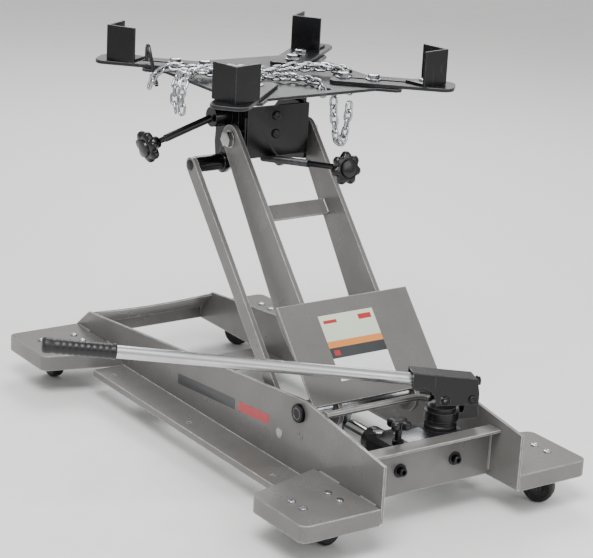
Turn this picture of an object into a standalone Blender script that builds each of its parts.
"""Low-lift hydraulic transmission jack: folded-sheet base on four casters, parallelogram lift, tilting saddle."""
import math

import bmesh
import bpy
from mathutils import Matrix, Vector

# ---- Driving dimensions, metres. X runs to the pump end, -Y is the link side, Z is up ----
GAP = 0.0003             # clearance between neighbouring solids
BASE_LENGTH = 0.900      # over the side rails
TRACK = 0.258            # over the outer faces of the two rail webs
SHEET = 0.0045           # folded base sheet
GROUND_CLEARANCE = 0.050  # floor to the bottom of the webs
FRONT_HEIGHT = 0.088     # web height at the pump end
PEAK_HEIGHT = 0.119      # web height above the main shaft
REAR_HEIGHT = 0.058      # web height at the rear
PEAK_SETBACK = 0.198     # pump end to the highest point of the web
REAR_CHAMFER = 0.042
FLANGE_WIDTH = 0.058     # outward foot of the rail
LIP_HEIGHT = 0.011
FLANGE_HOLE = 0.0035
FLANGE_HOLES_FROM_FRONT = (0.217, 0.455, 0.697)

PAD_WIDTH = 0.135
PAD_INNER_LENGTH = 0.166
PAD_OUTER_LENGTH = 0.131
PAD_SHEET = 0.004
PAD_TOP = 0.074
PAD_SKIRT = 0.0266
PAD_CORNER = 0.014
CASTER_FROM_END = 0.067
CASTER_FROM_WEB = 0.067
CASTER_PLATE = (0.052, 0.086, 0.0025)
WHEEL_RADIUS = 0.025
WHEEL_WIDTH = 0.019
CASTER_TRAIL = 0.026
AXLE_RADIUS = 0.004
FORK_SHEET = 0.0025

PIVOT_SETBACK = 0.210    # pump end to the main shaft
PIVOT_HEIGHT = 0.146
SHAFT_RADIUS = 0.012
SHAFT_HEAD = (0.0145, 0.006)
LINK_LENGTH = 0.4586     # pin to pin, of the arms and of the level link
LIFT_ANGLE = math.radians(131.2)  # arms at rest, from +X
LINK_OFFSET = (-0.050, -0.050)   # level link pins from the arm pins
ARM_SPACING = 0.151      # over the outer faces of the two arms
ARM_SHEET = 0.008
ARM_TOP_WIDTH = 0.045
ARM_FRONT = 0.0235       # arm line to its front edge
ARM_BELLY = 0.050        # arm line to its back edge at the widest place
ARM_BELLY_AT = 0.160
ARM_FOOT_RADIUS = 0.030
CROSS_BAR = (0.319, 0.346, 0.005)
CROSS_BAR_FRONT = -0.0185  # arm line to the bar's front face, clear of the tilt screw as the arms sink
COVER_SPAN = (-0.005, 0.160)
COVER_SHEET = 0.0045
COVER_WIDTH = 0.244
CRANK_TUBE_RADIUS = 0.017
CAM_BASE_RADIUS = 0.061  # shaft axis to the ram axis
CAM_WIDTH = 0.016
CAM_REST = 0.055         # ram face behind the shaft axis at rest
CAM_RANGE = (0.006, 0.072)  # unwound lengths that the cam covers
LINK_WIDTH = 0.025
LINK_SHEET = 0.008
LINK_CENTRE = 0.112
LINK_ANCHOR_RADIUS = 0.008
LINK_TOP_RADIUS = 0.006
BOLT_RADIUS = 0.008
BOLT_HEAD = (0.0139, 0.010)

RAM_RADIUS = 0.0123
RAM_LENGTH = 0.127
RAM_NOSE = 0.007         # smaller than the tightest hollow of the crank's face
CYLINDER_RADIUS = 0.021
CYLINDER_FLANGE = (0.027, 0.008)
CYLINDER_LENGTH = 0.0685
CROSS_SETBACK = 0.068    # rail ends to the front cross plate
CROSS_TOP = 0.131
CROSS_FLANGE = 0.022
BLOCK_DEPTH = 0.0595
BLOCK_SPAN = (-0.062, 0.085)
BLOCK_HEIGHTS = (0.060, 0.128)
BLOCK_BORE_WALL = 0.006
POST_SETBACK = 0.105
POST_SIDE = 0.055
POST_RADIUS = 0.0215
POST_TOP = 0.163
COLLAR_WALL = 0.0045
PLUNGER_RADIUS = 0.008
PLUNGER_TOP = 0.184
LEVER_HEIGHT = 0.176     # fulcrum and plunger pin height
LEVER_ARM = 0.042        # plunger pin to fulcrum
LEVER_PIN_RADIUS = 0.0045
HANDLE_TURN = math.radians(-111.8)  # rest heading of the handle, from +X
HANDLE_RISE = math.radians(7.1)
HANDLE_HEIGHT = 0.2
HANDLE_RADIUS = 0.0095
HANDLE_LENGTH = 0.590
HANDLE_INSERT = 0.045    # tube start behind the socket mouth
SOCKET_MOUTH = 0.052     # post axis to the socket mouth
SOCKET_WALL = 0.0038
YOKE_HALF = 0.0160       # handle line to the outer face of a yoke cheek
YOKE_SHEET = 0.0032
GRIP_RADIUS = 0.0118
GRIP_LENGTH = 0.107
VALVE_AT = (-0.081, -0.043)
VALVE_TOP = 0.165
BRACE_RADIUS = 0.0055
BRACE_AT = (-0.151, 0.162)

SADDLE_CENTRE = -0.530
CARRIER_FRONT = -0.490
CARRIER_WIDTH = 0.116
CARRIER_SHEET = 0.006
TILT_AXIS = (-0.540, 0.522)
TILT_PIN_RADIUS = 0.008
TILT_BOSS = (0.0160, 0.030)
CRADLE_SHEET = 0.006
ROLL_AXIS_HEIGHT = 0.5645
ROLL_RADIUS = 0.008
PLATE_TOP = 0.582
PLATE_SHEET = 0.005
PLATE_HALF = 0.143
PRONG_REACH = 0.207
PRONG_WIDTH = 0.070
CHAIN_HOLE = (0.114, 0.030, 0.012)
SADDLE_ARM = (0.195, 0.060, 0.006)
SADDLE_ARM_INNER = 0.098  # saddle centre to the inner end of an extended arm
SADDLE_ARM_SLOT = (0.010, 0.122, 0.011)
SADDLE_SIDE = 0.013      # saddle plate's middle to the far side of the roll axis
ARM_HEADINGS = (-48.0, 47.0, 130.0, 225.0)  # near, right, back and left arm, degrees
ARMS_IN = (0.014, 0.005, 0.021, 0.005)      # how far each arm is pushed in
BRACKET_LEG = 0.051
BRACKET_SHEET = 0.004
BRACKET_HEIGHT = 0.056
BRACKET_AT = 0.145       # inner end of the arm to the bracket's bolt
SCREW_RADIUS = 0.006
KNOB_RADIUS = 0.026
KNOB_LENGTH = 0.024
CHAIN_RADIUS = 0.0055
HOOK_RADIUS = 0.0032

# ---- Derived places ----
HALF_TRACK = TRACK / 2
REAR = -BASE_LENGTH
PIVOT = Vector((-PIVOT_SETBACK, 0.0, PIVOT_HEIGHT))
ALONG = Vector((math.cos(LIFT_ANGLE), 0.0, math.sin(LIFT_ANGLE)))
FRONTWARD = Vector((math.sin(LIFT_ANGLE), 0.0, -math.cos(LIFT_ANGLE)))
TOP_PIVOT = PIVOT + ALONG * LINK_LENGTH
LINK_FOOT = PIVOT + Vector((LINK_OFFSET[0], 0.0, LINK_OFFSET[1]))
LINK_HEAD = LINK_FOOT + ALONG * LINK_LENGTH
ARM_OUT = ARM_SPACING / 2
ARM_IN = ARM_OUT - ARM_SHEET
RAM_AXIS = PIVOT_HEIGHT - CAM_BASE_RADIUS
RAM_FACE = -PIVOT_SETBACK - CAM_REST
BLOCK_FRONT = -CROSS_SETBACK - SHEET - GAP
BLOCK_REAR = BLOCK_FRONT - BLOCK_DEPTH
ARM_BOTTOM = PLATE_TOP + GAP
ARM_TOP = ARM_BOTTOM + SADDLE_ARM[2]

GREY = (0.20, 0.19, 0.18, 1.0)
BLACK = (0.012, 0.012, 0.013, 1.0)
ZINC = (0.55, 0.56, 0.58, 1.0)
RUBBER = (0.02, 0.02, 0.02, 1.0)


def clear_scene():
    """Remove every object, mesh and curve."""
    for item in list(bpy.data.objects):
        bpy.data.objects.remove(item, do_unlink=True)


def finish_of(name, colour, roughness, metallic):
    """Return a Principled material with one colour."""
    material = bpy.data.materials.new(name)
    material.use_nodes = True
    shader = material.node_tree.nodes["Principled BSDF"]
    shader.inputs["Base Color"].default_value = colour
    shader.inputs["Roughness"].default_value = roughness
    shader.inputs["Metallic"].default_value = metallic
    return material


KINDS = {"grey": (GREY, 0.30, 0.0), "black": (BLACK, 0.30, 0.0), "zinc": (ZINC, 0.35, 1.0),
         "rubber": (RUBBER, 0.70, 0.0)}


def add_part(name, shape, kind="grey", origin=(0.0, 0.0, 0.0), smooth=False):
    """Turn a bmesh in layout coordinates into a named object whose origin is at the given point."""
    origin = Vector(origin)
    bmesh.ops.recalc_face_normals(shape, faces=shape.faces[:])
    bmesh.ops.translate(shape, verts=shape.verts[:], vec=-origin)
    mesh = bpy.data.meshes.new(name)
    shape.to_mesh(mesh)
    shape.free()
    if smooth:
        mesh.shade_smooth()
        mesh.set_sharp_from_angle(angle=math.radians(35))
    item = bpy.data.objects.new(name, mesh)
    item.location = origin
    if kind:
        mesh.materials.append(finish_of(name, *KINDS[kind]))
    bpy.context.collection.objects.link(item)
    return item


def combine(item, shape, operation):
    """Add a hidden tool object that is joined to, or cut from, the item."""
    tool = add_part(item.name + "_tool", shape, kind=None)
    tool.hide_render = True
    tool.display_type = "WIRE"
    modifier = item.modifiers.new(operation.title(), "BOOLEAN")
    modifier.operation = operation
    modifier.solver = "EXACT"
    modifier.object = tool
    return item


def cut(item, *shapes):
    """Cut each shape from the item."""
    for shape in shapes:
        combine(item, shape, "DIFFERENCE")
    return item


def join(item, *shapes):
    """Join each shape to the item."""
    for shape in shapes:
        combine(item, shape, "UNION")
    return item


def prism(outline, low, high, axis="Y"):
    """Extrude a closed outline. Its points are (x, z) for axis Y, (x, y) for axis Z, (y, z) for axis X."""
    place = {"Y": lambda p, t: (p[0], t, p[1]), "Z": lambda p, t: (p[0], p[1], t),
             "X": lambda p, t: (t, p[0], p[1])}[axis]
    shape = bmesh.new()
    ends = [[shape.verts.new(place(p, t)) for p in outline] for t in (low, high)]
    shape.faces.new(ends[0])
    shape.faces.new(list(reversed(ends[1])))
    count = len(outline)
    for i in range(count):
        j = (i + 1) % count
        shape.faces.new((ends[0][i], ends[0][j], ends[1][j], ends[1][i]))
    return shape


def box(x, y, z):
    """Return a box from (low, high) pairs."""
    return prism([(x[0], y[0]), (x[1], y[0]), (x[1], y[1]), (x[0], y[1])], z[0], z[1], "Z")


def turned(profile, segments=24, bore=None):
    """Turn (station, radius) pairs about Z. A bore radius leaves a through hole."""
    shape = bmesh.new()
    loops = [(station, radius) for station, radius in profile]
    if bore:
        loops = loops + [(profile[-1][0], bore), (profile[0][0], bore)]
    rings = []
    for station, radius in loops:
        rings.append([shape.verts.new((radius * math.cos(math.tau * k / segments),
                                       radius * math.sin(math.tau * k / segments), station))
                      for k in range(segments)])
    pairs = list(zip(rings, rings[1:]))
    if bore:
        pairs.append((rings[-1], rings[0]))
    for first, second in pairs:
        for k in range(segments):
            m = (k + 1) % segments
            shape.faces.new((first[k], first[m], second[m], second[k]))
    if not bore:
        shape.faces.new(list(reversed(rings[0])))
        shape.faces.new(rings[-1])
    return shape


def placed(shape, at=(0.0, 0.0, 0.0), direction=(0.0, 0.0, 1.0), spin=0.0):
    """Turn a shape about Z by spin, aim its Z at a direction and move it to a point."""
    aim = Vector((0.0, 0.0, 1.0)).rotation_difference(Vector(direction)).to_matrix().to_4x4()
    matrix = Matrix.Translation(Vector(at)) @ aim @ Matrix.Rotation(spin, 4, "Z")
    bmesh.ops.transform(shape, matrix=matrix, verts=shape.verts[:])
    return shape


def rod(start, end, radius, segments=24):
    """Return a plain cylinder between two points."""
    start, end = Vector(start), Vector(end)
    return placed(turned([(0.0, radius), ((end - start).length, radius)], segments), start, end - start)


def across(x, z, y0, y1, radius, segments=24):
    """Return a plain cylinder along Y."""
    return rod((x, y0, z), (x, y1, z), radius, segments)


def arc(centre, radius, start, end, count):
    """Return points on a circular arc, angles in degrees."""
    return [(centre[0] + radius * math.cos(math.radians(start + (end - start) * k / count)),
             centre[1] + radius * math.sin(math.radians(start + (end - start) * k / count)))
            for k in range(count + 1)]


def on_arm(along, front):
    """Return the (x, z) of a place given along the arm line and in front of it."""
    point = PIVOT + ALONG * along + FRONTWARD * front
    return point.x, point.z


def swept(name, points, radius, kind, sides=2):
    """Return a closed tube along a smooth path, as a curve object."""
    curve = bpy.data.curves.new(name, "CURVE")
    curve.dimensions = "3D"
    curve.bevel_depth = radius
    curve.bevel_resolution = sides
    curve.use_fill_caps = True
    spline = curve.splines.new("POLY")
    spline.points.add(len(points) - 1)
    for knot, point in zip(spline.points, points):
        knot.co = (*point, 1.0)
    curve.materials.append(finish_of(name, *KINDS[kind]))
    item = bpy.data.objects.new(name, curve)
    bpy.context.collection.objects.link(item)
    return item


def smooth_path(knots, per_span=6):
    """Return Catmull-Rom points through the knots."""
    knots = [Vector(k) for k in knots]
    padded = [knots[0] * 2 - knots[1]] + knots + [knots[-1] * 2 - knots[-2]]
    points = []
    for a, b, c, d in zip(padded, padded[1:], padded[2:], padded[3:]):
        for k in range(per_span):
            t = k / per_span
            points.append(0.5 * (2 * b + (c - a) * t + (2 * a - 5 * b + 4 * c - d) * t * t
                                 + (3 * b - a - 3 * c + d) * t ** 3))
    points.append(knots[-1])
    return points


# ---- Base ----
def rail(name, side):
    """Make one folded side rail: web, outward foot between the pads and its down-turned lip."""
    low = GROUND_CLEARANCE
    outline = [(0.0, low), (0.0, low + FRONT_HEIGHT), (-PEAK_SETBACK + 0.012, low + PEAK_HEIGHT - 0.002),
               (-PEAK_SETBACK, low + PEAK_HEIGHT), (-PEAK_SETBACK - 0.014, low + PEAK_HEIGHT - 0.001),
               (REAR + REAR_CHAMFER, low + REAR_HEIGHT), (REAR, PAD_TOP), (REAR, low)]
    web = add_part(name, prism(outline, side * (HALF_TRACK - SHEET), side * HALF_TRACK))
    foot = (REAR + PAD_INNER_LENGTH + GAP, -PAD_INNER_LENGTH - GAP)
    edge = HALF_TRACK + FLANGE_WIDTH
    section = [(HALF_TRACK - SHEET / 2, low - SHEET + 0.0005), (edge - SHEET, low - SHEET + 0.0005),
               (edge - SHEET, low - LIP_HEIGHT), (edge, low - LIP_HEIGHT), (edge, low + 0.0005),
               (HALF_TRACK - SHEET / 2, low + 0.0005)]
    join(web, prism([(side * y, z) for y, z in section], foot[0], foot[1], "X"))
    cut(web, across(PIVOT.x, PIVOT.z, side * (HALF_TRACK + 0.01), side * (HALF_TRACK - 0.01),
                    SHAFT_RADIUS + GAP))
    if side < 0:
        cut(web, across(LINK_FOOT.x, LINK_FOOT.z, side * (HALF_TRACK + 0.01), side * (HALF_TRACK - 0.01),
                        LINK_ANCHOR_RADIUS + GAP, 20))
    for setback in FLANGE_HOLES_FROM_FRONT:
        hole = rod((-setback, side * (HALF_TRACK + 0.039), low - 0.02),
                   (-setback, side * (HALF_TRACK + 0.039), low + 0.02), FLANGE_HOLE, 12)
        cut(web, hole)
    return web


def pad_outline(end, side, inset=0.0, extend=0.0):
    """Return a caster pad's outline: long edge on the web, rounded outer corners."""
    forward = 1 if end > REAR / 2 else -1
    inner = HALF_TRACK + GAP - extend
    outer = HALF_TRACK + PAD_WIDTH - inset
    radius = PAD_CORNER - inset
    slant = (PAD_INNER_LENGTH - PAD_OUTER_LENGTH) / PAD_WIDTH
    long_edge = PAD_INNER_LENGTH - inset + slant * extend
    short_edge = PAD_OUTER_LENGTH - inset
    corner_out = arc((inset + radius, outer - radius), radius, 180, 90, 5)
    corner_in = arc((short_edge - radius * 0.8, outer - radius), radius, 90, 14, 5)
    points = [(inset, inner)] + corner_out + corner_in + [(long_edge, inner)]
    return [(end - forward * x, side * y) for x, y in points]


def pad(name, end, side):
    """Make one caster pad: a plate with a skirt on three sides."""
    item = add_part(name, prism(pad_outline(end, side), PAD_TOP - PAD_SKIRT, PAD_TOP, "Z"))
    pocket = prism(pad_outline(end, side, PAD_SHEET, 0.02), PAD_TOP - PAD_SKIRT - 0.01, PAD_TOP - PAD_SHEET, "Z")
    return cut(item, pocket)


def base():
    """Make the rails, cross plates, pads, shaft, pins and brace."""
    for name, side in (("rail_near", -1), ("rail_far", 1)):
        rail(name, side)
    inside = HALF_TRACK - SHEET - GAP
    front = -CROSS_SETBACK
    low = GROUND_CLEARANCE + 0.0025
    front_section = [(front - SHEET, low), (front, low), (front, CROSS_TOP - SHEET),
                     (front + CROSS_FLANGE, CROSS_TOP - SHEET), (front + CROSS_FLANGE, CROSS_TOP),
                     (front - SHEET, CROSS_TOP)]
    add_part("front_cross_plate", prism(front_section, -inside, inside))
    back = REAR + 0.0045
    bend, top = PAD_TOP - 0.0005, GROUND_CLEARANCE + REAR_HEIGHT - 0.0015
    lean = REAR + REAR_CHAMFER + 0.001
    rear_section = [(back, GROUND_CLEARANCE), (back + SHEET, GROUND_CLEARANCE), (back + SHEET, bend - 0.002),
                    (lean + SHEET * 0.8, top - SHEET * 0.7), (lean, top), (back, bend)]
    rear_plate = add_part("rear_cross_plate", prism(rear_section, -inside, inside))
    dip = 0.94
    hollow = rod((REAR - 0.02, 0.0, top - 0.007 + dip), (lean + 0.03, 0.0, top - 0.007 + dip), dip, 160)
    cut(rear_plate, hollow)
    add_part("mid_cross_plate", box((-0.697, -0.622), (-inside, inside),
                                    (GROUND_CLEARANCE, GROUND_CLEARANCE + SHEET)))
    for name, end, side in (("pad_front_near", 0.0, -1), ("pad_front_far", 0.0, 1),
                            ("pad_rear_near", REAR, -1), ("pad_rear_far", REAR, 1)):
        pad(name, end, side)
    face = HALF_TRACK + GAP
    head, thick = SHAFT_HEAD
    shaft = turned([(-face - thick, head - 0.001), (-face - thick + 0.001, head), (-face, head),
                    (-face, SHAFT_RADIUS), (face, SHAFT_RADIUS), (face, head), (face + thick - 0.001, head),
                    (face + thick, head - 0.001)])
    add_part("main_shaft", placed(shaft, PIVOT, (0, 1, 0)), "zinc", smooth=True)
    shoulder = HALF_TRACK - SHEET - GAP
    anchor = turned([(-HALF_TRACK - 0.001, LINK_ANCHOR_RADIUS), (-shoulder, LINK_ANCHOR_RADIUS),
                     (-shoulder, 0.012), (-LINK_CENTRE - LINK_SHEET / 2 - GAP, 0.012),
                     (-LINK_CENTRE - LINK_SHEET / 2 - GAP, LINK_ANCHOR_RADIUS),
                     (-LINK_CENTRE + LINK_SHEET / 2 + 0.003, LINK_ANCHOR_RADIUS)], 20)
    add_part("link_anchor_pin", placed(anchor, LINK_FOOT, (0, 1, 0)), "zinc", smooth=True)
    x, z = BRACE_AT
    reach = -POST_SETBACK - POST_RADIUS - COLLAR_WALL - 0.0015
    route = [(x, -inside, z), (x, -0.080, z), (x, -0.020, z), (x, 0.030, z), (x + 0.004, 0.047, z),
             (x + 0.012, POST_SIDE - 0.001, z), (reach, POST_SIDE, z)]
    swept("brace_rod", smooth_path(route, 4), BRACE_RADIUS, "grey")


def caster(tag, end, side, trail_angle):
    """Make one swivel caster: fixed plate, fork and wheel, trailing at an angle in degrees."""
    forward = 1 if end > REAR / 2 else -1
    swivel = Vector((end - forward * CASTER_FROM_END, side * (HALF_TRACK + CASTER_FROM_WEB), 0.0))
    trail = Vector((math.cos(math.radians(trail_angle)), math.sin(math.radians(trail_angle)), 0.0))
    axle = Vector((-trail.y, trail.x, 0.0))
    hub = swivel + trail * CASTER_TRAIL + Vector((0.0, 0.0, WHEEL_RADIUS))
    length, width, thick = CASTER_PLATE
    top = PAD_TOP - PAD_SHEET - GAP
    plate = box((swivel.x - length / 2, swivel.x + length / 2), (swivel.y - width / 2, swivel.y + width / 2),
                (top - thick, top))
    add_part("caster_plate_" + tag, plate, "zinc")
    crown = top - thick - GAP
    race = placed(turned([(crown - 0.0035, 0.020), (crown - 0.0030, 0.0205), (crown, 0.0185)], 20), swivel)
    fork = add_part("caster_fork_" + tag, race, "zinc", origin=swivel, smooth=True)
    leg_in = WHEEL_WIDTH / 2 + 0.0015
    bridge_low = crown - 0.0065
    bridge = box((-0.021, 0.024), (-leg_in - FORK_SHEET, leg_in + FORK_SHEET), (bridge_low, crown - 0.003))
    shapes = [bridge]
    for hand in (-1, 1):
        sides = [(-0.021, bridge_low + 0.002), (0.024, bridge_low + 0.002)]
        sides += arc((CASTER_TRAIL, WHEEL_RADIUS), 0.009, 15, -165, 6)
        shapes.append(prism(sides, hand * leg_in, hand * (leg_in + FORK_SHEET)))
    shapes.append(across(CASTER_TRAIL, WHEEL_RADIUS, -leg_in - FORK_SHEET - 0.003, leg_in + FORK_SHEET + 0.003,
                         AXLE_RADIUS, 12))
    turn = math.radians(trail_angle)
    join(fork, *[placed(s, swivel, spin=turn) for s in shapes])
    half = WHEEL_WIDTH / 2
    tread = [(-half, 0.012), (-half, WHEEL_RADIUS - 0.004), (-half + 0.003, WHEEL_RADIUS - 0.0008),
             (-half + 0.005, WHEEL_RADIUS), (half - 0.005, WHEEL_RADIUS), (half - 0.003, WHEEL_RADIUS - 0.0008),
             (half, WHEEL_RADIUS - 0.004), (half, 0.012)]
    wheel = placed(turned(tread, 28, bore=AXLE_RADIUS + GAP), hub, axle)
    add_part("caster_wheel_" + tag, wheel, "rubber", origin=hub, smooth=True)


# ---- Lift ----
def lift_arm(name, side):
    """Make one lift arm: a tapered bar with both pin holes, on the arm line."""
    half = ARM_TOP_WIDTH / 2
    outline = [on_arm(LINK_LENGTH + half * math.sin(math.radians(a)), half * math.cos(math.radians(a)))
               for a in range(0, 181, 18)]
    outline += [on_arm(ARM_BELLY_AT + 0.02, -ARM_BELLY + 0.001), on_arm(ARM_BELLY_AT - 0.02, -ARM_BELLY)]
    outline += [on_arm(ARM_FOOT_RADIUS * math.sin(math.radians(a)), ARM_FOOT_RADIUS * math.cos(math.radians(a)))
                for a in range(190, 310, 15)]
    outline += [on_arm(-0.016, ARM_FRONT)]
    arm = add_part(name, prism(outline, side * ARM_IN, side * ARM_OUT), origin=PIVOT)
    foot_hole = across(PIVOT.x, PIVOT.z, side * (ARM_IN - 0.01), side * (ARM_OUT + 0.01), CRANK_TUBE_RADIUS + GAP)
    head_hole = across(TOP_PIVOT.x, TOP_PIVOT.z, side * (ARM_IN - 0.01), side * (ARM_OUT + 0.01),
                       BOLT_RADIUS + GAP)
    return cut(arm, foot_hole, head_hole)


def cam_outline():
    """Return the crank lobe: an involute face that a flat ram pushes at a constant ratio."""
    rest = CAM_REST / CAM_BASE_RADIUS
    face = []
    for k in range(13):
        unwound = (CAM_RANGE[0] + (CAM_RANGE[1] - CAM_RANGE[0]) * k / 12) / CAM_BASE_RADIUS
        turn = unwound - rest
        radial = Vector((math.sin(turn), -math.cos(turn)))
        tangent = Vector((-math.cos(turn), -math.sin(turn)))
        point = radial * CAM_BASE_RADIUS + tangent * (unwound * CAM_BASE_RADIUS)
        face.append((PIVOT.x + point.x, PIVOT.z + point.y))
    back = [(PIVOT.x - 0.085, PIVOT.z - 0.060), (PIVOT.x - 0.082, PIVOT.z - 0.030), (PIVOT.x - 0.040, PIVOT.z + 0.006),
            (PIVOT.x - 0.010, PIVOT.z + 0.010), (PIVOT.x - 0.008, PIVOT.z - 0.010), (PIVOT.x - 0.034, PIVOT.z - 0.026)]
    return face + back


def lift():
    """Make the arms, their cross bar and cover, the crank, the ram and the level link."""
    for name, side in (("lift_arm_near", -1), ("lift_arm_far", 1)):
        lift_arm(name, side)
    low, high, thick = CROSS_BAR
    face = CROSS_BAR_FRONT
    section = [on_arm(low, face), on_arm(high, face), on_arm(high, face - thick), on_arm(low, face - thick)]
    add_part("arm_cross_bar", prism(section, -ARM_IN + GAP, ARM_IN - GAP), origin=PIVOT)
    low, high = COVER_SPAN
    inner = ARM_FRONT + GAP
    section = [on_arm(low, inner), on_arm(high, inner), on_arm(high, inner + COVER_SHEET),
               on_arm(low, inner + COVER_SHEET)]
    add_part("cover_plate", prism(section, -COVER_WIDTH / 2, COVER_WIDTH / 2), origin=PIVOT)
    reach = HALF_TRACK - SHEET - 2 * GAP
    tube = placed(turned([(-reach, CRANK_TUBE_RADIUS), (reach, CRANK_TUBE_RADIUS)], 28), PIVOT, (0, 1, 0))
    crank = add_part("lift_crank", tube, "zinc", origin=PIVOT, smooth=True)
    join(crank, prism(cam_outline(), -CAM_WIDTH / 2, CAM_WIDTH / 2))
    cut(crank, across(PIVOT.x, PIVOT.z, -0.2, 0.2, SHAFT_RADIUS + GAP, 28))
    nose = [(RAM_NOSE * (1 - math.cos(math.radians(a))), RAM_NOSE * math.sin(math.radians(a)))
            for a in (10, 25, 40, 55, 68)]
    ram = turned(nose + [(0.012, RAM_RADIUS), (RAM_LENGTH, RAM_RADIUS)])
    face = Vector((RAM_FACE + GAP, 0.0, RAM_AXIS))
    add_part("lift_ram", placed(ram, face, (1, 0, 0)), "zinc", origin=face, smooth=True)
    half = LINK_WIDTH / 2
    outline = []
    for base_along, start in ((LINK_LENGTH, 0), (0.0, 180)):
        for a in range(start, start + 181, 18):
            swing = math.radians(a)
            point = LINK_FOOT + ALONG * (base_along + half * math.sin(swing)) + FRONTWARD * (half * math.cos(swing))
            outline.append((point.x, point.z))
    low, high = -LINK_CENTRE - LINK_SHEET / 2, -LINK_CENTRE + LINK_SHEET / 2
    link = add_part("level_link", prism(outline, low, high), origin=LINK_FOOT)
    cut(link, across(LINK_FOOT.x, LINK_FOOT.z, low - 0.01, high + 0.01, LINK_ANCHOR_RADIUS + GAP, 20),
        across(LINK_HEAD.x, LINK_HEAD.z, low - 0.01, high + 0.01, LINK_TOP_RADIUS + GAP, 20))


# ---- Pump ----
def pump():
    """Make the pump block with its post, the lift cylinder, valve knob, swivel, plunger and handle."""
    low, high = BLOCK_HEIGHTS
    edge = 0.006
    left, right = BLOCK_SPAN
    section = [(left, low), (right, low), (right, high - edge), (right - edge, high), (left + edge, high),
               (left, high - edge)]
    block = add_part("pump_block", prism(section, BLOCK_REAR, BLOCK_FRONT, "X"), "black")
    post = turned([(high - 0.01, POST_RADIUS + 0.003), (high + 0.006, POST_RADIUS + 0.003),
                   (high + 0.008, POST_RADIUS), (POST_TOP, POST_RADIUS)])
    join(block, placed(post, (-POST_SETBACK, POST_SIDE, 0.0)))
    bore = turned([(BLOCK_HEIGHTS[0] + 0.02, PLUNGER_RADIUS + GAP), (POST_TOP + 0.01, PLUNGER_RADIUS + GAP)], 20)
    ram_bore = rod((BLOCK_REAR - 0.01, 0.0, RAM_AXIS), (BLOCK_FRONT - BLOCK_BORE_WALL, 0.0, RAM_AXIS),
                   RAM_RADIUS + GAP)
    cut(block, placed(bore, (-POST_SETBACK, POST_SIDE, 0.0)), ram_bore)
    radius, thick = CYLINDER_FLANGE
    start = BLOCK_REAR - GAP
    barrel = turned([(0.0, radius), (thick, radius), (thick, CYLINDER_RADIUS),
                     (CYLINDER_LENGTH - 0.002, CYLINDER_RADIUS), (CYLINDER_LENGTH, CYLINDER_RADIUS - 0.002)],
                    bore=RAM_RADIUS + GAP)
    add_part("lift_cylinder", placed(barrel, (start, 0.0, RAM_AXIS), (-1, 0, 0)), "black", smooth=True)
    valve()
    lever()


def valve():
    """Make the release valve: stem and four-lobed knob."""
    seat = BLOCK_HEIGHTS[1] + GAP
    foot = Vector((*VALVE_AT, seat))
    stem = placed(turned([(0.0, 0.008), (0.006, 0.008), (0.007, 0.005), (VALVE_TOP - seat - 0.004, 0.005)], 16), foot)
    item = add_part("release_valve", stem, "black", origin=foot, smooth=True)
    lobes = []
    for k in range(40):
        angle = math.tau * k / 40
        reach = 0.0125 + 0.0065 * math.cos(4 * angle)
        lobes.append((foot.x + reach * math.cos(angle), foot.y + reach * math.sin(angle)))
    join(item, prism(lobes, VALVE_TOP - 0.011, VALVE_TOP, "Z"))


def lever():
    """Make the swivel bracket, plunger, handle socket, handle tube and grip, about the post."""
    post = Vector((-POST_SETBACK, POST_SIDE, 0.0))
    turn = HANDLE_TURN
    collar = POST_RADIUS + COLLAR_WALL
    ring = turned([(POST_TOP - 0.020, collar), (POST_TOP - 0.006, collar)], bore=POST_RADIUS + GAP)
    swivel = add_part("swivel_bracket", placed(ring, post), "black", origin=post, smooth=True)
    back = -LEVER_ARM
    low, high = POST_TOP - 0.018, POST_TOP - 0.008
    ear_out = YOKE_HALF - YOKE_SHEET - GAP
    ear = ear_out - YOKE_SHEET
    parts = [box((back - 0.012, -POST_RADIUS - 0.002), (-ear_out, ear_out), (low, high))]
    for hand in (-1, 1):
        outline = [(back - 0.012, high - 0.002), (back + 0.012, high - 0.002)]
        outline += arc((back, LEVER_HEIGHT), 0.009, 0, 180, 8)
        parts.append(prism(outline, hand * ear, hand * ear_out))
    parts.append(across(back, LEVER_HEIGHT, -YOKE_HALF - 0.003, YOKE_HALF + 0.003, LEVER_PIN_RADIUS, 14))
    join(swivel, *[placed(part, post, spin=turn) for part in parts])
    plunger = turned([(BLOCK_HEIGHTS[1] - 0.012, PLUNGER_RADIUS), (PLUNGER_TOP, PLUNGER_RADIUS)], 20)
    piston = add_part("pump_plunger", placed(plunger, post), "zinc", origin=post, smooth=True)
    join(piston, placed(across(0.0, LEVER_HEIGHT, -YOKE_HALF - 0.002, YOKE_HALF + 0.002, LEVER_PIN_RADIUS, 14),
                        post, spin=turn))
    handle(post, turn)


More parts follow.
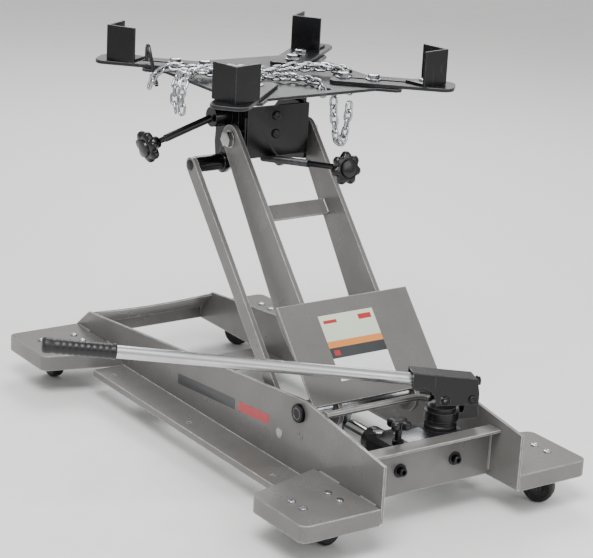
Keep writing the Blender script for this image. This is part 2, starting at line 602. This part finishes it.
def handle(post, turn):
    """Make the folded yoke with its tube socket, the handle tube and the grip, aimed along the handle."""
    outward = Vector((math.cos(turn), math.sin(turn), 0.0))
    fulcrum = post - outward * LEVER_ARM + Vector((0.0, 0.0, LEVER_HEIGHT))
    aim = outward * math.cos(HANDLE_RISE) + Vector((0.0, 0.0, math.sin(HANDLE_RISE)))
    axis = post + Vector((0.0, 0.0, HANDLE_HEIGHT))
    bore = HANDLE_RADIUS + GAP
    slope = math.tan(HANDLE_RISE)
    tail = -LEVER_ARM - 0.006

    def over(radial, rise):
        """Return a side-view point at a height above the handle's axis."""
        return radial, HANDLE_HEIGHT + radial * slope + rise

    roof = HANDLE_RADIUS + 0.0052
    lip = LEVER_HEIGHT - 0.0085
    mouth, heel, inset = SOCKET_MOUTH - 0.001, tail + 0.001, YOKE_HALF - 0.0006
    web = [over(mouth, roof), over(mouth, roof - YOKE_SHEET), over(heel, roof - YOKE_SHEET), over(heel, roof)]
    socket = add_part("handle_socket", placed(prism(web, -inset, inset), post, spin=turn), "black", origin=fulcrum)
    cheek = [over(SOCKET_MOUTH, roof - 0.001), over(tail, roof - 0.001), (tail - 0.004, LEVER_HEIGHT + 0.010),
             (tail - 0.004, lip)]
    cheek += arc((0.046, lip), 0.032, 180, 110, 5) + [over(SOCKET_MOUTH, -0.012)]
    sleeve_from, wall = 0.006, HANDLE_RADIUS + SOCKET_WALL
    block = [over(SOCKET_MOUTH - 0.004, roof - 0.0015), over(sleeve_from, roof - 0.0015), over(sleeve_from, -wall),
             over(SOCKET_MOUTH - 0.004, -wall)]
    parts = [prism(cheek, hand * (YOKE_HALF - YOKE_SHEET), hand * YOKE_HALF) for hand in (-1, 1)]
    parts.append(prism(block, -YOKE_HALF + 0.001, YOKE_HALF - 0.001))
    join(socket, *[placed(part, post, spin=turn) for part in parts])
    start = axis + aim * (SOCKET_MOUTH - HANDLE_INSERT)
    recess = rod(axis + aim * (sleeve_from - 0.01), axis + aim * (SOCKET_MOUTH + 0.02), bore)
    pin_gap = LEVER_PIN_RADIUS + 0.0007
    pin_slot = box((-0.0075, 0.0075), (-0.03, 0.03), (LEVER_HEIGHT - pin_gap, LEVER_HEIGHT + pin_gap))
    pin_hole = across(-LEVER_ARM, LEVER_HEIGHT, -0.03, 0.03, LEVER_PIN_RADIUS + GAP, 14)
    cut(socket, recess, placed(pin_slot, post, spin=turn), placed(pin_hole, post, spin=turn))
    end = start + aim * HANDLE_LENGTH
    add_part("handle_tube", rod(start, end, HANDLE_RADIUS), "zinc", origin=fulcrum, smooth=True)
    grip = turned([(0.0, GRIP_RADIUS - 0.001), (0.001, GRIP_RADIUS), (GRIP_LENGTH - 0.004, GRIP_RADIUS),
                   (GRIP_LENGTH, GRIP_RADIUS - 0.004)])
    foot = end - aim * (GRIP_LENGTH - 0.005)
    sleeve = add_part("handle_grip", placed(grip, foot, aim), "rubber", origin=fulcrum, smooth=True)
    cut(sleeve, rod(foot - aim * 0.01, end + aim * GAP, HANDLE_RADIUS + GAP))


# ---- Saddle ----
def carrier():
    """Make the saddle carrier between the arms, its pivot bolts and the level link's upper pin."""
    half = CARRIER_WIDTH / 2
    sheet = CARRIER_SHEET
    front = CARRIER_FRONT
    plate = add_part("saddle_carrier", box((front - sheet, front), (-half, half), (0.4615, 0.543)), "black",
                     origin=TOP_PIVOT)
    parts = []
    for hand in (-1, 1):
        outline = [(front - 0.001, 0.452), (front - 0.001, 0.530), (-0.512, 0.541), (-0.560, 0.541), (-0.580, 0.520),
                   (-0.584, 0.470)]
        outline += arc((LINK_HEAD.x, LINK_HEAD.z), 0.018, 175, 305, 7)
        outline += [(-0.525, 0.446)]
        parts.append(prism(outline, hand * half, hand * (half - sheet)))
    boss_end = LINK_CENTRE - LINK_SHEET / 2 - GAP
    parts.append(across(LINK_HEAD.x, LINK_HEAD.z, -half + 0.001, -boss_end, 0.013))
    join(plate, *parts)
    screw_from, screw_to = front_screw_line()
    passage = rod(screw_from - (screw_to - screw_from) * 0.2, screw_to, SCREW_RADIUS + 0.0012, 20)
    cut(plate, across(TOP_PIVOT.x, TOP_PIVOT.z, -0.1, 0.1, BOLT_RADIUS + GAP),
        across(*TILT_AXIS, -0.1, 0.1, TILT_PIN_RADIUS + GAP),
        across(LINK_HEAD.x, LINK_HEAD.z, -0.13, 0.0, LINK_TOP_RADIUS + GAP, 20), passage)
    head, thick = BOLT_HEAD
    for name, side in (("pivot_bolt_near", -1), ("pivot_bolt_far", 1)):
        shank = across(TOP_PIVOT.x, TOP_PIVOT.z, side * (ARM_OUT + 0.002), side * (half - sheet - 0.004), BOLT_RADIUS)
        bolt = add_part(name, shank, "zinc", origin=TOP_PIVOT)
        hexagon = turned([(0.0, head), (thick - 0.001, head), (thick, head - 0.0015)], 6)
        join(bolt, placed(hexagon, (TOP_PIVOT.x, side * (ARM_OUT + GAP), TOP_PIVOT.z), (0, side, 0), 0.2))
    outer = LINK_CENTRE + LINK_SHEET / 2 + GAP
    pin = turned([(-outer - 0.002, LINK_TOP_RADIUS + 0.0005), (-outer - 0.0015, LINK_TOP_RADIUS + 0.0025),
                  (-outer, LINK_TOP_RADIUS + 0.0025), (-outer, LINK_TOP_RADIUS), (-half + 0.02, LINK_TOP_RADIUS)], 20)
    add_part("link_top_pin", placed(pin, LINK_HEAD, (0, 1, 0)), "zinc", origin=LINK_HEAD, smooth=True)


def front_screw_line():
    """Return the ends of the fore-and-aft tilt screw."""
    return Vector((-0.530, 0.0, 0.4490)), Vector((-0.302, 0.0, 0.4855))


def side_screw_line():
    """Return the ends of the side tilt screw."""
    end_face = CARRIER_WIDTH / 2 + 0.0005 + CRADLE_SHEET + TILT_BOSS[1]
    return (Vector((TILT_AXIS[0] + 0.003, -end_face - 0.0028, TILT_AXIS[1] - 0.001)),
            Vector((TILT_AXIS[0] + 0.010, -0.218, TILT_AXIS[1] - 0.035)))


def tilt_screw(tag, line, collar_at, shank):
    """Make a tilt screw: threaded rod with a collar, and a seven-lobed knob on its end."""
    start, end = line
    aim = (end - start).normalized()
    total = (end - start).length
    hub = total - KNOB_LENGTH / 2
    profile = [(0.0, SCREW_RADIUS), (collar_at, SCREW_RADIUS), (collar_at + 0.002, shank), (hub, shank)]
    add_part("tilt_screw_" + tag, placed(turned(profile, 16), start, aim), "black", origin=start, smooth=True)
    lobes = []
    for k in range(56):
        angle = math.tau * k / 56
        reach = KNOB_RADIUS * (0.89 + 0.11 * math.cos(7 * angle))
        lobes.append((reach * math.cos(angle), reach * math.sin(angle)))
    knob_from = total - KNOB_LENGTH * 0.42
    disc = prism(lobes, knob_from, knob_from + KNOB_LENGTH * 0.6, "Z")
    knob = add_part("tilt_knob_" + tag, placed(disc, start, aim), "black", origin=start, smooth=True)
    neck = turned([(total - KNOB_LENGTH, 0.009), (knob_from + 0.002, 0.013)], 20)
    cap = turned([(knob_from + KNOB_LENGTH * 0.5, 0.014), (knob_from + KNOB_LENGTH * 0.68, 0.0125),
                  (knob_from + KNOB_LENGTH * 0.74, 0.008)], 20)
    join(knob, placed(neck, start, aim), placed(cap, start, aim))
    cut(knob, rod(start, start + aim * (hub + GAP), shank + GAP, 16))


def cradle():
    """Make the tilt cradle: cheeks outside the carrier, pins, near boss and the roll journal."""
    inner = CARRIER_WIDTH / 2 + 0.0005
    outer = inner + CRADLE_SHEET
    low, top = 0.505, 0.558
    span = (-0.575, -0.507)
    bridge = box(span, (-outer, outer), (top - CRADLE_SHEET, top))
    item = add_part("tilt_cradle", bridge, "black", origin=(TILT_AXIS[0], 0.0, TILT_AXIS[1]))
    parts = []
    for hand in (-1, 1):
        parts.append(box(span, sorted((hand * inner, hand * outer)), (low, top - 0.001)))
        parts.append(across(*TILT_AXIS, hand * (inner - 0.012), hand * (outer - 0.001), TILT_PIN_RADIUS))
    radius, length = TILT_BOSS
    parts.append(across(*TILT_AXIS, -outer + 0.001, -outer - length, radius))
    parts.append(rod((-0.5925, 0.0, ROLL_AXIS_HEIGHT), (-0.4835, 0.0, ROLL_AXIS_HEIGHT), ROLL_RADIUS, 20))
    return join(item, *parts)


def saddle_outline():
    """Return the saddle plate's outline: a square with a blunt prong under each arm."""
    half = PRONG_WIDTH / 2
    root = PLATE_HALF * math.sqrt(2) - half
    tip, cut_back = PRONG_REACH, 0.006
    points = []
    for heading in ARM_HEADINGS:
        c, s = math.cos(math.radians(heading)), math.sin(math.radians(heading))
        for along, off in ((root, -half), (tip - cut_back, -half), (tip, -half + cut_back), (tip, half - cut_back),
                           (tip - cut_back, half), (root, half)):
            points.append((SADDLE_CENTRE + along * c - off * s, SADDLE_SIDE + along * s + off * c))
    return points


def saddle():
    """Make the saddle plate with its roll lugs, the four sliding arms and their turning brackets."""
    roll = Vector((SADDLE_CENTRE, 0.0, ROLL_AXIS_HEIGHT))
    plate = add_part("saddle_plate", prism(saddle_outline(), PLATE_TOP - PLATE_SHEET, PLATE_TOP, "Z"), "black",
                     origin=roll)
    lugs = []
    for low, high in ((-0.4905, -0.4845), (-0.5915, -0.5855)):
        outline = [(0.016, PLATE_TOP - 0.002), (-0.016, PLATE_TOP - 0.002), (-0.013, ROLL_AXIS_HEIGHT - 0.004)]
        outline += arc((0.0, ROLL_AXIS_HEIGHT), 0.0125, 200, 340, 7)
        outline += [(0.013, ROLL_AXIS_HEIGHT - 0.004)]
        lugs.append(prism(outline, low, high, "X"))
    join(plate, *lugs)
    journal = rod((-0.6, 0.0, ROLL_AXIS_HEIGHT), (-0.475, 0.0, ROLL_AXIS_HEIGHT), ROLL_RADIUS + GAP, 20)
    x, y, radius = CHAIN_HOLE
    hole = rod((SADDLE_CENTRE + x, y, PLATE_TOP - 0.02), (SADDLE_CENTRE + x, y, PLATE_TOP + 0.01), radius, 20)
    cut(plate, journal, hole)
    for tag, heading, pushed_in, bracket_turn in zip(("near", "right", "back", "left"), ARM_HEADINGS, ARMS_IN,
                                                     (14, 7, 130, 30)):
        saddle_arm(tag, heading, pushed_in, bracket_turn)


def saddle_arm(tag, heading, pushed_in, bracket_turn):
    """Make one slotted arm on a diagonal of the saddle plate, with its corner bracket."""
    length, width, thick = SADDLE_ARM
    half = width / 2
    corner = 0.018
    outline = [(0.0, -half + 0.006), (0.006, -half)]
    outline += arc((length - corner, -half + corner), corner, -90, 0, 5)
    outline += arc((length - corner, half - corner), corner, 0, 90, 5)
    outline += [(0.006, half), (0.0, half - 0.006)]
    turn = math.radians(heading)
    inner = SADDLE_ARM_INNER - pushed_in
    heading_vector = Vector((math.cos(turn), math.sin(turn), 0.0))
    foot = Vector((SADDLE_CENTRE, SADDLE_SIDE, ARM_BOTTOM)) + heading_vector * inner
    bar = placed(prism(outline, 0.0, thick, "Z"), foot, spin=turn)
    arm = add_part("saddle_arm_" + tag, bar, "black", origin=foot)
    low, high, gap = SADDLE_ARM_SLOT
    slot_half = gap / 2
    slot = arc((low + slot_half, 0.0), slot_half, 90, 270, 6) + arc((high - slot_half, 0.0), slot_half, -90, 90, 6)
    cut(arm, placed(prism(slot, -0.01, 0.02, "Z"), foot, spin=turn))
    bolt = foot + heading_vector * BRACKET_AT + Vector((0.0, 0.0, thick + GAP))
    apex = BRACKET_LEG / 2
    leg, sheet = BRACKET_LEG, BRACKET_SHEET
    ell = [(apex, apex), (apex - leg, apex), (apex - leg, apex - sheet), (apex - sheet, apex - sheet),
           (apex - sheet, apex - leg), (apex, apex - leg)]
    spin = turn + math.radians(bracket_turn - 45)
    corner_piece = placed(prism(ell, 0.0, BRACKET_HEIGHT, "Z"), bolt, spin=spin)
    bracket = add_part("bracket_" + tag, corner_piece, "black", origin=bolt)
    foot_plate = prism([(apex - 0.001, apex - 0.001), (-0.020, apex - 0.001), (-0.020, -0.020), (apex - 0.001, -0.020)],
                       0.0, sheet, "Z")
    join(bracket, placed(foot_plate, bolt, spin=spin))


def hang_ware():
    """Make the safety chain's two stretches and the J-hook beside the left arm."""
    z = PLATE_TOP + CHAIN_RADIUS + GAP
    over_arm = ARM_TOP + CHAIN_RADIUS + GAP
    hole_x, hole_y = SADDLE_CENTRE + CHAIN_HOLE[0], CHAIN_HOLE[1]
    lying = [(-0.636, -0.128, over_arm), (-0.614, -0.106, over_arm), (-0.592, -0.082, over_arm),
             (-0.570, -0.058, over_arm), (-0.550, -0.036, over_arm - 0.001), (-0.525, -0.018, over_arm),
             (-0.500, -0.004, over_arm), (-0.470, 0.012, over_arm - 0.001), (hole_x - 0.022, hole_y - 0.006, z + 0.001),
             (hole_x - 0.008, hole_y - 0.003, z - 0.002), (hole_x - 0.001, hole_y, z - 0.012),
             (hole_x, hole_y, z - 0.028), (hole_x + 0.001, hole_y, 0.540), (hole_x + 0.002, hole_y, 0.515),
             (hole_x + 0.003, hole_y, 0.490)]
    swept("chain_long", smooth_path(lying, 4), CHAIN_RADIUS, "zinc", 1)
    back = [(-0.585, 0.060, over_arm), (-0.570, 0.046, over_arm), (-0.550, 0.038, over_arm), (-0.530, 0.040, over_arm),
            (-0.510, 0.050, over_arm), (-0.492, 0.066, over_arm), (-0.480, 0.084, over_arm)]
    swept("chain_short", smooth_path(back, 4), CHAIN_RADIUS, "zinc", 1)
    top = ARM_TOP + HOOK_RADIUS + GAP
    side = math.sqrt(0.5)
    knots = [(SADDLE_CENTRE - (out - off) * side, SADDLE_SIDE - (out + off) * side, top + rise)
             for out, off, rise in ((0.202, 0.020, 0.0), (0.2015, 0.022, 0.014), (0.199, 0.029, 0.026),
                                    (0.195, 0.037, 0.026), (0.190, 0.0425, 0.012), (0.184, 0.0445, -0.010),
                                    (0.178, 0.045, -0.034))]
    swept("chain_hook", smooth_path(knots, 4), HOOK_RADIUS, "black")


def centre_on_floor():
    """Move everything so that the origin is below the middle of the whole object's box."""
    bpy.context.view_layer.update()
    graph = bpy.context.evaluated_depsgraph_get()
    corners = []
    for item in bpy.data.objects:
        if not item.hide_render:
            mesh = item.evaluated_get(graph).to_mesh()
            corners += [item.matrix_world @ vertex.co for vertex in mesh.vertices]
    middle = [(min(c[k] for c in corners) + max(c[k] for c in corners)) / 2 for k in (0, 1)]
    shift = Vector((-middle[0], -middle[1], -min(c[2] for c in corners)))
    for item in bpy.data.objects:
        item.location += shift


def main():
    """Build the whole jack."""
    clear_scene()
    base()
    for tag, end, side, trail in (("front_near", 0.0, -1, 100), ("front_far", 0.0, 1, 30),
                                  ("rear_near", REAR, -1, 180), ("rear_far", REAR, 1, 205)):
        caster(tag, end, side, trail)
    lift()
    pump()
    carrier()
    cradle()
    tilt_screw("front", front_screw_line(), 0.130, 0.0052)
    tilt_screw("side", side_screw_line(), 0.090, 0.0045)
    saddle()
    hang_ware()
    centre_on_floor()


main()
